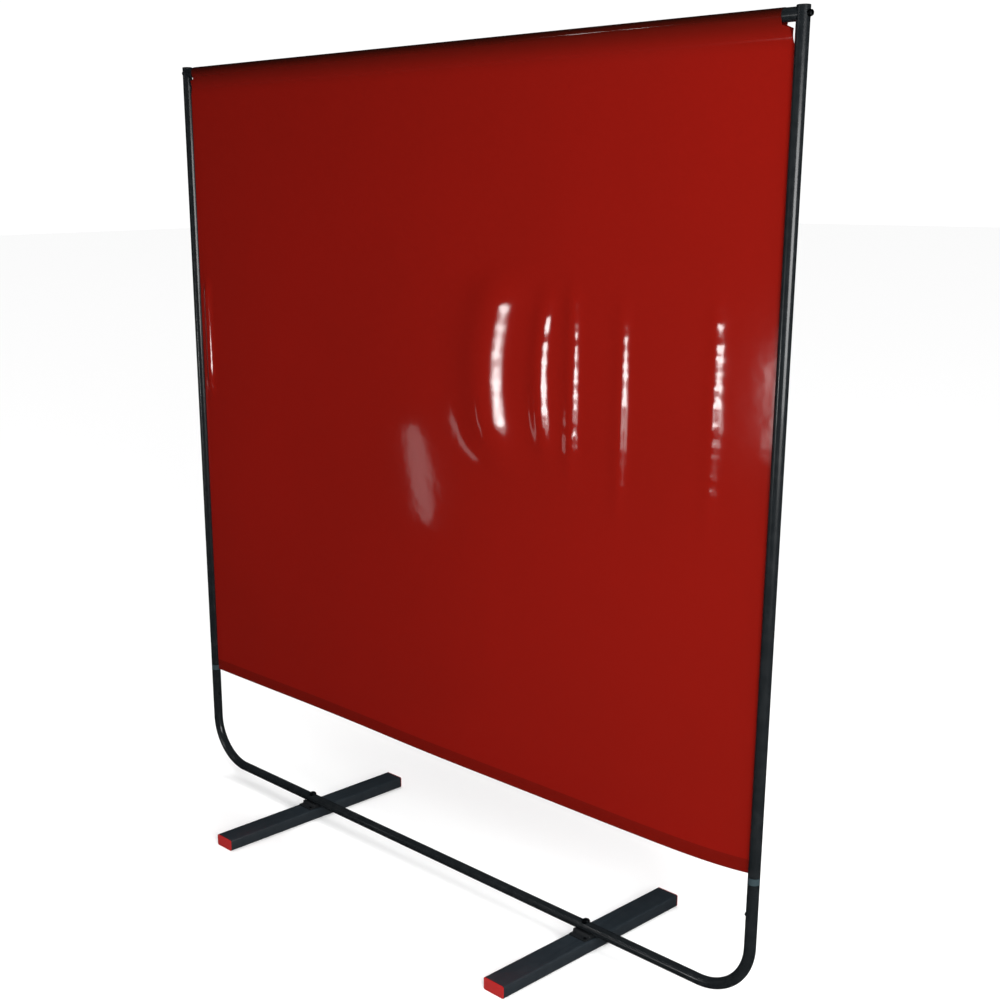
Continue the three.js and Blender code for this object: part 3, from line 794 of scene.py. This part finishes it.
# How far along the film its top line over the bar lies.
drawn_at_top = HEM + (weld_z - bottom) + (Vector(on_bar(front_angle)) - Vector((0, weld_z))).length
drawn_at_top += pocket_radius * (front_angle + 2 * math.pi - math.pi / 2)
for index, point in enumerate(profile):
    y, z = point
    if index:
        drawn += (point - profile[index - 1]).length
    if z > bar_z - SHOULDER_TOP:
        reach = half_width - POCKET_INSET
    elif z > bar_z - SHOULDER_BOTTOM:
        reach = half_width - SHOULDER_INSET * ease(z, bar_z - SHOULDER_BOTTOM, bar_z - SHOULDER_TOP)
    else:
        reach = half_width
    row = []
    for share in columns:
        x = reach * share
        out = stand_out(x, z) if z < weld_z else 0
        curl = RIGHT_LIFT * (max(x, 0) / half_width) ** 9 * ease(z, bottom + 0.25, bottom)
        row.append((film_bm.verts.new((x, y - out, z + curl)), x, drawn))
    grid.append(row)
for lower, upper in zip(grid, grid[1:]):
    for step in range(len(columns) - 1):
        corner = [lower[step], lower[step + 1], upper[step + 1], upper[step]]
        face = film_bm.faces.new([vert for vert, _, _ in corner])
        for loop, (_, across, along) in zip(face.loops, corner):
            loop[film_uv].uv = (across, along)
film_mesh = bpy.data.meshes.new("red_film_curtain")
film_bm.to_mesh(film_mesh)
film_bm.free()

# Plasticised PVC, calendered to a mirror gloss and dyed right through, so two layers look deeper and the
# pocket shows the black bar inside it. Over the bar and down past the pocket's weld the colour is also
# darkened as painted shade, where the bar keeps light from coming through the film. The welds are pressed
# bands with faint cross ribs, 20 mm apart.
red_film, tree, shader = start_material(
    "calendered_red_pvc", Base_Color=colour("6F1009"), Roughness=0.07, IOR=1.53
)
place = add_node(tree, "ShaderNodeTexCoord").outputs["Object"]
depth = add_node(tree, "ShaderNodeTexNoise", {"Vector": place, "Scale": 1.4, "Detail": 3})
dye = add_node(
    tree,
    "ShaderNodeMix",
    {"Factor": depth.outputs["Fac"], "A": colour("6A0F08"), "B": colour("760F09")},
    data_type="RGBA",
)
film_place = add_node(tree, "ShaderNodeUVMap", uv_map="film")
across_along = add_node(tree, "ShaderNodeSeparateXYZ", {"Vector": film_place.outputs["UV"]})


def nearness(middle, reach, fade):
    """1 within reach of a place along the film's length, in metres, easing to 0 over the fade."""
    away = add_node(tree, "ShaderNodeMath", {0: across_along.outputs["Y"], 1: middle}, operation="SUBTRACT")
    distance = add_node(tree, "ShaderNodeMath", {0: away.outputs[0]}, operation="ABSOLUTE")
    share = add_node(
        tree,
        "ShaderNodeMapRange",
        {"Value": distance.outputs[0], "From Min": reach + fade, "From Max": reach, "To Max": 1.0},
        interpolation_type="SMOOTHSTEP",
    )
    return share.outputs["Result"]


def darkened(shade, amount, code):
    """The shade turned that much towards a colour, where the amount is 1."""
    mix = add_node(tree, "ShaderNodeMix", {"Factor": amount, "A": shade, "B": colour(code)}, data_type="RGBA")
    return mix.outputs["Result"]


hem_layers = add_node(
    tree, "ShaderNodeMath", {0: nearness(HEM, HEM, 0.002), 1: 0.35}, operation="MULTIPLY"
)
shade = darkened(dye.outputs["Result"], hem_layers.outputs[0], "2A0703")
# Darker over the bar, fading out just below the pocket's weld: partly the doubled dye over the black bar, and
# partly painted shade where the bar and the pocket keep light from coming through the film.
shade = darkened(shade, nearness(drawn_at_top, 0.0, 0.085), "380904")
shade = darkened(shade, nearness(drawn_at_top, 0.002, 0.028), "160603")
tree.links.new(shade, shader.inputs["Base Color"])
wave = add_node(tree, "ShaderNodeTexNoise", {"Vector": place, "Scale": 14, "Detail": 2})
soft_waves = add_node(
    tree, "ShaderNodeBump", {"Height": wave.outputs["Fac"], "Strength": 0.08, "Distance": 0.004}
)
RIB_PITCH = 0.020
rib_scale = math.pi / 10 / RIB_PITCH  # the wave texture has 10 / pi waves a unit at a scale of 1
ribs = add_node(
    tree, "ShaderNodeTexWave", {"Vector": film_place.outputs["UV"], "Scale": rib_scale}
)
welded = nearness(2 * HEM - WELD / 2, WELD / 2, 0.0006)
pocket_weld = nearness(HEM + weld_z - bottom, WELD / 2, 0.0006)
either_weld = add_node(tree, "ShaderNodeMath", {0: welded, 1: pocket_weld}, operation="MAXIMUM")
pressed = add_node(
    tree, "ShaderNodeMath", {0: ribs.outputs["Fac"], 1: either_weld.outputs[0]}, operation="MULTIPLY"
)
weld_marks = add_node(
    tree,
    "ShaderNodeBump",
    {
        "Height": pressed.outputs[0],
        "Strength": 0.08,
        "Distance": 0.0002,
        "Normal": soft_waves.outputs["Normal"],
    },
)
tree.links.new(weld_marks.outputs["Normal"], shader.inputs["Normal"])
gloss = add_node(
    tree, "ShaderNodeMapRange", {"Value": either_weld.outputs[0], "To Min": 0.07, "To Max": 0.09}
)
tree.links.new(gloss.outputs["Result"], shader.inputs["Roughness"])
film_mesh.materials.append(red_film)

curtain = add_object("red_film_curtain", film_mesh)
thick = curtain.modifiers.new("film", "SOLIDIFY")
thick.thickness = FILM
thick.offset = 0
settle(curtain)
smooth_by_angle(curtain, 60)
fit(curtain, "curtain", "red_film", "curtain")
